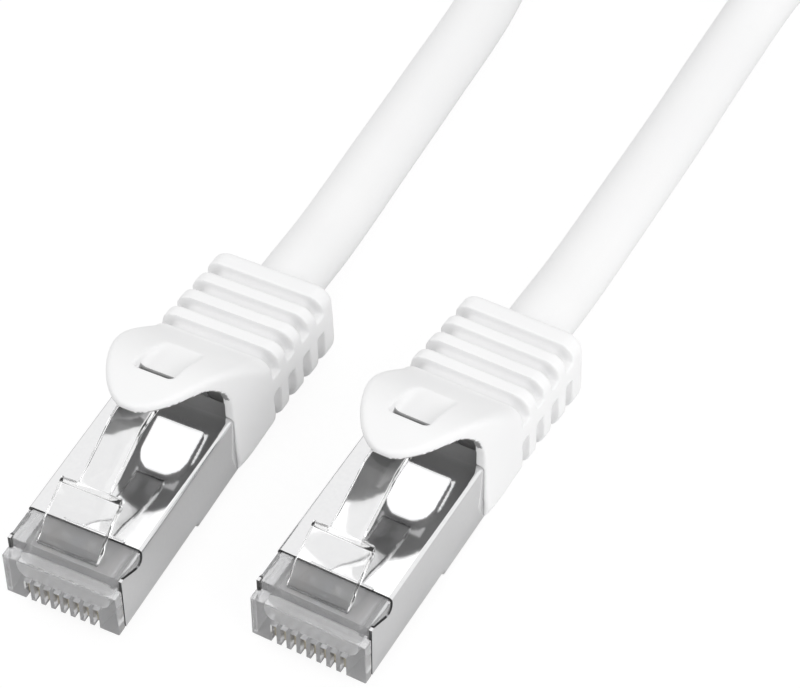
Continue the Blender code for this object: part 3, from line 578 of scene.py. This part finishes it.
def bootBody():
    bm = bmesh.new()
    made = bmesh.ops.create_circle(bm, segments=4 * (boot["cornerSteps"] + 1), radius=1)
    ring = made["verts"]
    steps = boot["hoodSteps"]
    angles = [math.radians(6 + 84 * k / steps) for k in range(steps + 1)]
    tip = [hinge["y"] - boot["hoodReach"] * math.cos(angle) for angle in angles]
    steps, corner = boot["backSteps"], boot["rearCorner"]
    length = boot["rear"] - corner[0][0] - hinge["y"]
    back = [hinge["y"] + length * k / steps for k in range(1, steps + 1)]
    places = [(y, 0.0) for y in tip + back]
    places += [(boot["rear"] - short, inset) for short, inset in corner[1:]]
    edges = list(bm.edges)
    bm.faces.new(ring)
    for index, (y, inset) in enumerate(places):
        if index:
            grown = bmesh.ops.extrude_edge_only(bm, edges=edges)["geom"]
            edges = [item for item in grown if isinstance(item, bmesh.types.BMEdge)]
            bm.verts.index_update()
            fresh = [item for item in grown if isinstance(item, bmesh.types.BMVert)]
            ring = sorted(fresh, key=lambda vert: vert.index)
        softer = smoothStep((y - boot["softStart"]) / boot["softLength"])
        highRadius = boot["hoodRadius"] + (boot["highRadius"] - boot["hoodRadius"]) * softer
        shapeSection(
            ring, y, hoodHalfWidth(y) - inset, boot["bottom"] + inset, bootTop(y) - inset,
            boot["lowRadius"], highRadius, cordAxis(y).x)
    bm.faces.new(ring)
    return bm


def grooveCutters(y):
    # a rounded core is left inside each groove, over the back and under the belly
    low, high = y - boot["grooveWidth"] / 2, y + boot["grooveWidth"] / 2
    half = boot["halfWidth"] - boot["grooveSide"]
    top, bottom = bootTop(y) - boot["grooveDepth"], boot["bottom"] + boot["grooveLowDepth"]
    highRadius, lowRadius = boot["highRadius"], boot["lowRadius"] - boot["grooveLowDepth"]
    beyond, sky, ground = half + 6, top + 6, bottom - 6     # well clear of the skin
    end, start = boot["grooveEnd"], boot["grooveLowStart"]
    upper = [
        (half, end), *arc((half - highRadius, top - highRadius), highRadius, 0, 90, 8),
        *arc((highRadius - half, top - highRadius), highRadius, 90, 180, 8),
        (-half, end), (-beyond, end), (-beyond, sky), (beyond, sky), (beyond, end),
    ]
    lower = [
        (-half, start), *arc((lowRadius - half, bottom + lowRadius), lowRadius, 180, 270, 8),
        *arc((half - lowRadius, bottom + lowRadius), lowRadius, 270, 360, 8),
        (half, start), (beyond, start), (beyond, ground), (-beyond, ground), (-beyond, start),
    ]
    sway = cordAxis(y).x
    outlines = [[(x + sway, z) for x, z in outline] for outline in (upper, lower)]
    return [extruded(outline, "y", low, high) for outline in outlines]


def recessFloor(y):                         # the thumb rest slopes down to the rear
    along = (y - boot["recessFront"]) / (boot["recessRear"] - boot["recessFront"])
    return boot["hoodTop"] - boot["recessDepth"] - boot["recessFall"] * along


def mouthCuts():
    mouth, plug, throat = boot["mouth"], boot["plugHalf"], boot["throatHalf"]
    mouth = [(-far, -far), (mouth[0][0], -far), *mouth, (-far, mouth[-1][1])]
    rear, floor = boot["throatRear"], boot["throatFloor"]
    roof = [(y, bootTop(y) - boot["shell"]) for y in [rear, *boot["roofPlaces"]]]
    cavity = [(-far, floor), (rear, floor), *roof, (-far, roof[-1][1])]
    return [
        extruded(mouth, "x", -far, far),
        box((-plug, -far, boot["plugBottom"]), (plug, boot["plugRear"], boot["plugTop"])),
        extruded(cavity, "x", -throat, throat),
    ]


def thumbPad():
    front, rear, half = boot["padFront"], boot["padRear"], boot["padHalf"]
    roof = [(y, bootTop(y) - boot["shell"] / 2) for y in [rear, *boot["padPlaces"], front]]
    foot = [(front, boot["padFrontFoot"]), (rear, boot["padRearFoot"])]
    pad = extruded([*foot, *roof], "x", -half, half)
    corners = [
        edge for edge in pad.edges
        if all(abs(vert.co.y - front) < 1e-4 for vert in edge.verts)
        and abs(edge.verts[0].co.x - edge.verts[1].co.x) < 1e-4]
    bmesh.ops.bevel(
        pad, geom=corners, offset=boot["padRadius"], segments=8, profile=0.5, affect="EDGES",
        material=-1)
    return pad


def backCuts():
    cuts = []
    for k in range(boot["grooves"]):
        cuts += grooveCutters(boot["grooveFirst"] + k * boot["groovePitch"])
    front, rear = boot["recessFront"], boot["recessRear"]
    centre, half = boot["recessCentre"], boot["recessWidth"] / 2
    recess = [(front, recessFloor(front)), (rear, recessFloor(rear)), (rear, far), (front, far)]
    recess = extruded(recess, "x", centre - half, centre + half)
    cuts.append(rounded(recess, boot["recessRounding"], 4))
    bore = bmesh.new()
    lying = Matrix.Translation(boot["boreMiddle"]) @ Matrix.Rotation(math.radians(90), 4, "X")
    radius, length = boot["boreRadius"], boot["boreLength"]
    bmesh.ops.create_cone(
        bore, cap_ends=True, segments=48, radius1=radius, radius2=radius, depth=length,
        matrix=lying)
    cuts.append(bore)
    return cuts


def depthInside(place):                     # how far a point lies below the uncut outer surface
    half, top = hoodHalfWidth(place.y), bootTop(place.y)
    bottom, radius = boot["bottom"], boot["highRadius"]
    narrowing = boot["lean"] / boot["halfWidth"] / (boot["top"] - bottom)
    x = abs(place.x - cordAxis(place.y).x) / (1 - narrowing * (place.z - bottom)) - half + radius
    z = abs(place.z - (top + bottom) / 2) - (top - bottom) / 2 + radius
    return radius - math.hypot(max(x, 0.0), max(z, 0.0)) - min(max(x, z), 0.0)


shading = {                                 # painted shade of the boot's hollows, and painted glow of its pad
    "skin": 0.25,                           # depth at which the painted shade starts
    "deep": 1.4,                            # how much deeper the painted shade is full
    "rimDepth": 2.0,
    "rimRear": 22.4,
    "rimTop": 11,
    "rimFacing": 0.2,                       # how far a face of the rim turns forward to stay free of painted shade
    "rimBlend": 0.4,
    "restHalf": 2.5,
    "roofLow": 7.2,
    "roofFacing": 0.25,                     # how far a face of the roof turns down to get full painted shade
    # share of the painted shade in the grooves
    "grooveShade": 0.4,
    "grooveLow": 3,
    "padLow": 12.9,
    "padFacing": 0.5,
}


def shadeBoot(bm):                          # marks the painted shade of the hollows, and the pad's underside, which glows with painted light
    paintedShade = bm.verts.layers.float.new("paintedShade")
    glowMask = bm.verts.layers.float.new("glowMask")
    front, rear, half = boot["padFront"], boot["padRear"], boot["padHalf"]
    bm.normal_update()
    for vert in bm.verts:
        place, normal, skin = vert.co, vert.normal, shading["skin"]
        inside = depthInside(place)
        depth = smoothStep((inside - skin) / shading["deep"])
        inMouth = place.y < shading["rimRear"] and place.z < shading["rimTop"]
        if inMouth and inside < shading["rimDepth"]:
            depth *= 1 - smoothStep((-normal.y - shading["rimFacing"]) / shading["rimBlend"])
        onRest = abs(place.x) < shading["restHalf"] and place.z > recessFloor(place.y) - skin
        inRoof = place.z > shading["roofLow"] and normal.z < -shading["roofFacing"]
        # painted shade: a share of it in the grooves, all of it in the throat and under the roof,
        # none on the thumb rest
        if place.y > boot["throatRear"] + 0.5:
            vert[paintedShade] = shading["grooveShade"] * depth if place.z > shading["grooveLow"] else 0.0
        else:
            vert[paintedShade] = 0.0 if onRest else max(depth, 1.0 if inRoof else 0.0)
        # the pad's underside glows with painted light
        onPad = front - 0.4 < place.y < rear + 0.3 and abs(place.x) < half + 0.2
        onPad = onPad and place.z < shading["padLow"] and normal.z < -shading["padFacing"]
        vert[glowMask] = 1.0 if onPad else 0.0


def makeBoot(side):
    bm = carved(carved(bootBody(), mouthCuts()), backCuts(), [thumbPad()])
    remesh = {"mode": "VOXEL", "voxel_size": boot["voxel"], "use_smooth_shade": True}
    soften = {"factor": 0.5, "iterations": boot["softening"]}
    bm = withModifiers(looseShape(bm), [("REMESH", remesh), ("SMOOTH", soften)])
    floor, centre = recessFloor(boot["slitRear"]), boot["recessCentre"]
    half = boot["recessWidth"] / 2
    slit = box(
        (centre - half, boot["slitFront"], floor - boot["slitDepth"]),
        (centre + half, boot["slitRear"], floor + 0.4))
    bm = carved(bm, [slit])
    shadeBoot(bm)
    print("boot skin", side, len(bm.faces), "faces")
    piece = finishedPiece(bm, f"boot_skin_{side}", side, 60)
    piece.data.materials.append(finishes["boot"])
    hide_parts(f"boot_{side}", f"boot_hood_{side}")
    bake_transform(piece)


# Shield, one folded sheet with a crimp round the braid

shield = {
    "half": 5.84,
    "top": 6.7,
    "sheet": 0.3,
    "bend": 0.45,
    "foot": 0.3,
    "front": 1.2,
    "crown": 4.9,
    "rear": 23.4,
    "tailFront": 14.6,
    "tailDepth": 0.8,
    "notch": [                              # the side plates' top edge, back to the crown
        (1.6, 6.33), (3.5, 5.38), (3.95, 5.2), (4.35, 5.16), (4.65, 5.3), (4.84, 5.6), (4.9, 6.0),
    ],
    "strip": 2.4,
    "crimp": (24.4, 27.6),
    "crimpRadius": (3.75, 4.05),
    "crimpMiddle": 3.25,
    "seam": 0.6,
}


def makeShield(side):
    half, top, wall, tail = shield["half"], shield["top"], shield["sheet"], -shield["tailDepth"]
    front, crown, rear, step = (shield[name] for name in ("front", "crown", "rear", "tailFront"))
    outline = softCorners(half, tail, top, shield["foot"], shield["bend"], 5, 8)
    opening = [(-far, shield["notch"][0][1]), *shield["notch"], (crown, far), (-far, far)]
    room = [
        (-far, -far), (step - wall, -far), (step - wall, tail + wall), (far, tail + wall),
        (far, top - wall), (-far, top - wall),
    ]
    start, stop = shield["crimp"]
    inner, outer = shield["crimpRadius"]
    middle, strip, seam = shield["crimpMiddle"], shield["strip"] / 2, shield["seam"] / 2
    bm = carved(extruded(outline, "y", front, rear), [
        extruded(opening, "x", -far, far),
        box((-far, -far, -far), (far, step, 0)),
        extruded(room, "x", wall - half, half - wall),
    ])
    bm = carved(bm, [
        extruded(circle(inner, middle, 48), "y", start - 1, stop + 1),
        box((-seam, start - 1, middle), (seam, stop + 1, middle + 2 * outer)),
    ], [
        box((-strip, rear - wall, tail), (strip, (start + stop) / 2, tail + wall)),
        extruded(circle(outer, middle, 48), "y", start, stop),
    ])
    bm.normal_update()
    cut = bm.faces.layers.float.new("cut")
    for face in bm.faces:                   # the sheet's cut edges and front, painted near black as painted shade
        centre = face.calc_center_median()
        onEdge = abs(face.normal.y) > 0.15 and centre.z > 0.02
        face[cut] = 1.0 if onEdge or abs(centre.y - front) < 1e-3 else 0.0
    piece = finishedPiece(bm, f"shield_sheet_{side}", side, 30)
    piece.data.materials.append(finishes["shield"])
    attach(piece, "cable")
    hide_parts(f"shield_{side}")


# Smoky nose and housing, with slots for the eight contacts

nose = {
    "half": 5.84,
    "bodyHalf": 5.44,
    "ledge": 1.3,                           # depth of the low front
    "height": 5.15,
    "top": 6.38,
    "shoulder": 1.1,                        # depth of the full width
    "rear": 20.8,
    "tailFront": 14.9,
    "tailFloor": -0.4,
    "rounding": 0.22,
    "cheekHalf": 5.7,
    "cheek": [(1.75, 6.36), (3.6, 5.46), (4.05, 5.3), (4.4, 5.3), (4.7, 5.6), (4.78, 6.36)],
    "cavityHalf": 4.7,
    "cavityFront": 1.3,
    "cavityFloor": 2.3,
    "cavityRoof": 5.0,
    "cavityRadius": 1.2,
    "contacts": 8,
    "pitch": 1.016,
    "slotWidth": 0.6,
    "slotRear": 5.8,
    "slotTop": 2.45,
}


def makeNose(side):
    half, body, shoulder = nose["half"], nose["bodyHalf"], nose["shoulder"]
    low, high, ledge, rear = nose["height"], nose["top"], nose["ledge"], nose["rear"]
    profile = [
        (0, 0), (nose["tailFront"], 0), (nose["tailFront"], nose["tailFloor"]),
        (rear, nose["tailFloor"]), (rear, high), (ledge, high), (ledge, low), (0, low),
    ]
    beside = [
        box((-far, shoulder, -far), (-body, far, far)),
        box((body, shoulder, -far), (far, far, far)),
    ]
    bm = rounded(carved(extruded(profile, "x", -half, half), beside), nose["rounding"], 3)
    cheek = extruded(nose["cheek"], "x", -nose["cheekHalf"], nose["cheekHalf"])
    width, front, radius = nose["cavityHalf"], nose["cavityFront"], nose["cavityRadius"]
    floor, roof = nose["cavityFloor"], nose["cavityRoof"]
    cavity = softCorners(width, floor, roof, radius, radius, 6, 6)
    cuts = [extruded(cavity, "y", front, far)]
    for index in range(nose["contacts"]):
        x = contactPlace(index)
        cuts.append(box(
            (x - nose["slotWidth"] / 2, -far, -far),
            (x + nose["slotWidth"] / 2, nose["slotRear"], nose["slotTop"])))
    bm = carved(bm, cuts, [cheek])
    inner = bm.verts.layers.float.new("inner")
    near = 0.01
    for vert in bm.verts:
        x, y, z = vert.co
        inside = abs(x) < width + near and y > front - near and floor - near < z < roof + near
        vert[inner] = 1.0 if inside else 0.0
    piece = finishedPiece(bm, f"smoky_nose_{side}", side, 30)
    piece.data.materials.append(finishes["smoky"])
    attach(piece, "cable")
    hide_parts(f"plug_housing_{side}")


def contactPlace(index):
    return (index - (nose["contacts"] - 1) / 2) * nose["pitch"]


# Contact blades, with prongs that bite into the wires

contact = {
    "thickness": 0.3,
    "front": 0.35,
    "rear": 5.4,
    "foot": 0.3,
    "back": 1.9,
    "corner": 0.45,                         # radius
    "prong": 0.6,
    "tips": (2.4, 3.55),                    # the wires lie in two rows
    "edge": 0.05,
}


def makeContact(index, side):
    front, rear, foot, back = (contact[name] for name in ("front", "rear", "foot", "back"))
    radius, prong, tip = contact["corner"], contact["prong"], contact["tips"][index % 2]
    second = rear - 3 * prong
    outline = [
        *arc((front + radius, foot + radius), radius, 180, 270, 6), (rear, foot), (rear, tip),
        (rear - prong, back), (second + prong, back), (second, tip), (second - prong / 2, back),
        (front, back),
    ]
    x, half = contactPlace(index), contact["thickness"] / 2
    bm = rounded(extruded(outline, "x", x - half, x + half), contact["edge"], 2)
    piece = finishedPiece(bm, f"contact_blade_{index + 1}_{side}", side, 40)
    piece.data.materials.append(finishes["gold"])
    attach(piece, "cable")
    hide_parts(f"contact_{index + 1}_{side}")


# Clear latch

latch = {
    "half": 3.1,
    "leverHalf": 1.625,
    "catch": [                              # from the root's toe round the shoulder and back
        (1.75, 6.36), (2.1, 6.38), (2.9, 6.66), (3.3, 7.2), (3.8, 7.85), (5.2, 8.55), (6.8, 9.1),
        (6.8, 10.42), (6.3, 10.32), (5.2, 9.62), (3.8, 8.9), (3.0, 8.25), (2.3, 7.45),
        (1.85, 6.95), (1.68, 6.6),
    ],
    "lever": [
        (6.2, 9.1), (9.0, 10.0), (11.5, 11.1), (13.2, 11.8), (14.6, 11.95), (16.4, 11.9),
        (16.6, 12.1), (16.6, 12.7), (16.4, 12.9), (14.6, 13.0), (13.2, 12.85), (11.5, 12.1),
        (9.0, 11.0), (7.0, 10.15), (6.2, 10.0),
    ],
    "edge": 0.14,
}


def makeLatch(side):
    catch = extruded(latch["catch"], "x", -latch["half"], latch["half"])
    lever = extruded(latch["lever"], "x", -latch["leverHalf"], latch["leverHalf"])
    bm = rounded(carved(catch, [], [lever]), latch["edge"], 3)
    bm.normal_update()
    stepShade = bm.faces.layers.float.new("stepShade")
    for face in bm.faces:                   # the two steps beside the lever, painted dark as painted shade
        middle = face.calc_center_median()
        face[stepShade] = 1.0 if face.normal.y > 0.8 and abs(middle.x) > latch["leverHalf"] else 0.0
    piece = finishedPiece(bm, f"latch_clear_{side}", side, 30)
    piece.data.materials.append(finishes["clear"])
    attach(piece, f"latch_{side}")
    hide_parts(f"latch_{side}")


# Strap round the coil

strap = {
    "middle": (-1.36, 169.9, 7.5),
    "width": 8.0,
    "half": (6.9, 6.75),                    # inside, across and up
    "radius": 3.6,
    "thickness": 0.75,
    "cornerSteps": 8,
    "edge": 0.12,
    "tail": 9.0,
    "tailThickness": 0.6,
    "tailEdge": 0.2,
}


def makeStrap():
    bm = bmesh.new()
    steps, radius, width = strap["cornerSteps"], strap["radius"], strap["width"]
    made = bmesh.ops.create_circle(bm, segments=4 * (steps + 1), radius=1)
    across, up = strap["half"]
    corners = [(1, 1), (-1, 1), (-1, -1), (1, -1)]
    for k, vert in enumerate(made["verts"]):
        corner, step = divmod(k, steps + 1)
        right, high = corners[corner]
        angle = math.radians(90 * (corner + step / steps))
        y = right * (across - radius) + radius * math.cos(angle)
        z = high * (up - radius) + radius * math.sin(angle)
        vert.co = (-width / 2, y, z)
    grown = bmesh.ops.extrude_edge_only(bm, edges=list(bm.edges))["geom"]
    fresh = [item for item in grown if isinstance(item, bmesh.types.BMVert)]
    bmesh.ops.translate(bm, vec=(width, 0, 0), verts=fresh)
    bmesh.ops.recalc_face_normals(bm, faces=bm.faces)
    wall = {"thickness": strap["thickness"], "offset": 1.0}
    soften = {"width": strap["edge"], "segments": 2, "limit_method": "ANGLE"}
    bm = withModifiers(looseShape(bm), [("SOLIDIFY", wall), ("BEVEL", soften)])
    start, low = radius - across, up + strap["thickness"]
    tail = box((-width / 2, start, low),
               (width / 2, start + strap["tail"], low + strap["tailThickness"]))
    bm = carved(bm, [], [rounded(tail, strap["tailEdge"], 3)])
    bm.transform(Matrix.Translation(Vector(strap["middle"]) * mm) @ Matrix.Scale(mm, 4))
    piece = finishedPiece(bm, "strap")
    piece.data.materials.append(finishes["tie"])
    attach(piece, "cable")
    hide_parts("cable_tie")
    return piece


# Finishes

colours = {                                 # one, or the two ends of a range
    "boot": ((0.87, 0.87, 0.875), (0.91, 0.91, 0.91)),
    # painted shade of the boot's hollows
    "paintedShade": (0.28, 0.28, 0.28),
    # painted light: the glow of the pad's underside
    "padGlow": (0.80, 0.80, 0.80),
    "jacket": ((0.86, 0.86, 0.865), (0.90, 0.90, 0.90)),
    "shield": ((0.82, 0.82, 0.83), (0.88, 0.88, 0.88)),
    # painted shade along the shield's cut edges
    "cutEdgeShade": (0.10, 0.10, 0.10),
    "clear": (0.95, 0.95, 0.95),
    # painted shade on the latch's steps
    "clearStepShade": (0.10, 0.10, 0.10),
    "smoky": (0.88, 0.88, 0.89),
    "gold": ((0.42, 0.38, 0.30), (0.50, 0.46, 0.38)),
    "braid": (0.62, 0.62, 0.62),
    "tie": ((0.03, 0.03, 0.03), (0.06, 0.06, 0.06)),
    "wires": [
        (0.74, 0.71, 0.68), (0.62, 0.56, 0.50), (0.72, 0.74, 0.71), (0.50, 0.54, 0.60),
        (0.70, 0.72, 0.75), (0.52, 0.58, 0.54), (0.72, 0.70, 0.69), (0.48, 0.44, 0.42),
    ],
}


def bootFinish():
    paint = Finish("boot_plastic")
    place = paint.position()
    grain = paint.noise(place, scale=5200, detail=3)
    cloud = paint.noise(place, scale=180, detail=2)
    paintedShade, glowMask = paint.mark("paintedShade"), paint.mark("glowMask")
    skin = paint.mix(cloud, *colours["boot"])
    return paint.finish(paint.surface(
        # painted shade darkens the hollows, but not the glowing pad
        Base_Color=paint.mix(paintedShade * (1 - glowMask), skin, colours["paintedShade"]),
        Roughness=cloud * 0.12 + paintedShade * 0.4 + 0.42,
        Normal=paint.bump(grain, depth=0.02, strength=0.35), Specular_IOR_Level=0.4,
        # painted light: the pad's underside glows
        Emission_Color=paint.mix(glowMask, (0.0, 0.0, 0.0), colours["padGlow"]),
        Emission_Strength=1.0))


def jacketFinish():
    paint = Finish("cord_jacket")
    place = paint.position()
    grain = paint.noise(place, scale=3800, detail=3)
    cloud = paint.noise(place, scale=90, detail=2)
    return paint.finish(paint.surface(
        Base_Color=paint.mix(cloud, *colours["jacket"]), Roughness=cloud * 0.1 + 0.4,
        Normal=paint.bump(grain, depth=0.02, strength=0.3), Specular_IOR_Level=0.4))


def shieldFinish():
    paint = Finish("shield_metal")
    place = paint.position()
    waves = paint.noise(place, scale=120, detail=1)
    specks = paint.noise(place, scale=2500, detail=3)
    # painted shade on the sheet's cut edges
    cutEdgeShade = paint.mark("cut")
    plate = paint.mix(specks, *colours["shield"])
    return paint.finish(paint.surface(
        Base_Color=paint.mix(cutEdgeShade, plate, colours["cutEdgeShade"]), Metallic=1.0,
        Roughness=specks * 0.05 + 0.04 + cutEdgeShade * 0.3,
        Normal=paint.bump(waves, depth=0.02, strength=0.4)))


def mouldRelief(paint):                     # faint waves in clear plastic
    waves = paint.noise(paint.position(), scale=300, detail=2)
    return paint.bump(waves, depth=0.02, strength=0.3)


def clearFinish():
    paint = Finish("clear_plastic")
    # painted shade on the two steps beside the lever
    colour = paint.mix(paint.mark("stepShade"), colours["clear"], colours["clearStepShade"])
    return paint.finish(paint.surface(
        Base_Color=colour, Roughness=0.03, IOR=1.48, Transmission_Weight=1.0,
        Normal=mouldRelief(paint)))


def smokyFinish():
    paint = Finish("smoky_plastic")
    return paint.finish(paint.surface(
        Base_Color=colours["smoky"], Roughness=paint.mark("inner") * 0.22 + 0.08, IOR=1.5,
        Transmission_Weight=0.74, Normal=mouldRelief(paint)))


def goldFinish():
    paint = Finish("contact_gold")
    wear = paint.noise(paint.position(), scale=900, detail=2)
    return paint.finish(paint.surface(
        Base_Color=paint.mix(wear, *colours["gold"]), Metallic=1.0, Roughness=wear * 0.15 + 0.2))


def wireFinish(index):
    tint = colours["wires"][index]
    paint = Finish(f"wire_insulation_{index + 1}")
    mottle = paint.noise(paint.position(), scale=1500, detail=2)
    colour = paint.mix(mottle, tint, tuple(1.12 * part for part in tint))
    return paint.finish(paint.surface(Base_Color=colour, Roughness=mottle * 0.1 + 0.35))


def braidFinish():
    paint = Finish("braid_metal")
    wires = paint.bands(paint.position(), "DIAGONAL", scale=900, distortion=0.5)
    return paint.finish(paint.surface(
        Base_Color=colours["braid"], Metallic=1.0, Roughness=0.35,
        Normal=paint.bump(wires, depth=0.05, strength=0.8)))


def tieFinish():
    paint = Finish("tie_strap")
    weave = paint.bands(paint.position(), "X", scale=700, distortion=1.5)
    return paint.finish(paint.surface(
        Base_Color=paint.mix(weave, *colours["tie"]), Roughness=0.75,
        Normal=paint.bump(weave, depth=0.08, strength=0.7)))


finishes = {
    "boot": bootFinish(),
    "jacket": jacketFinish(),
    "shield": shieldFinish(),
    "clear": clearFinish(),
    "smoky": smokyFinish(),
    "gold": goldFinish(),
    "braid": braidFinish(),
    "tie": tieFinish(),
    "wires": [wireFinish(index) for index in range(8)],
}
print("finishes:", len(finishes))


def paintNode(name, finish):
    mesh = nodes[name].data
    mesh.materials.clear()
    mesh.materials.append(finish)


makeCamera()
makeSky()
makeFloor()
makeLamps()
makeCord(makeStrap())
print("cord laid")
for side in "ab":
    makeBoot(side)
    makeShield(side)
    makeNose(side)
    makeLatch(side)
    paintNode(f"load_bar_{side}", finishes["smoky"])
    paintNode(f"braid_{side}", finishes["braid"])
    for index in range(8):
        makeContact(index, side)
        paintNode(f"wire_{index + 1}_{side}", finishes["wires"][index])
    print("end", side, "dressed")
bpy.context.scene.view_settings.view_transform = "Standard"
bpy.context.view_layer.update()
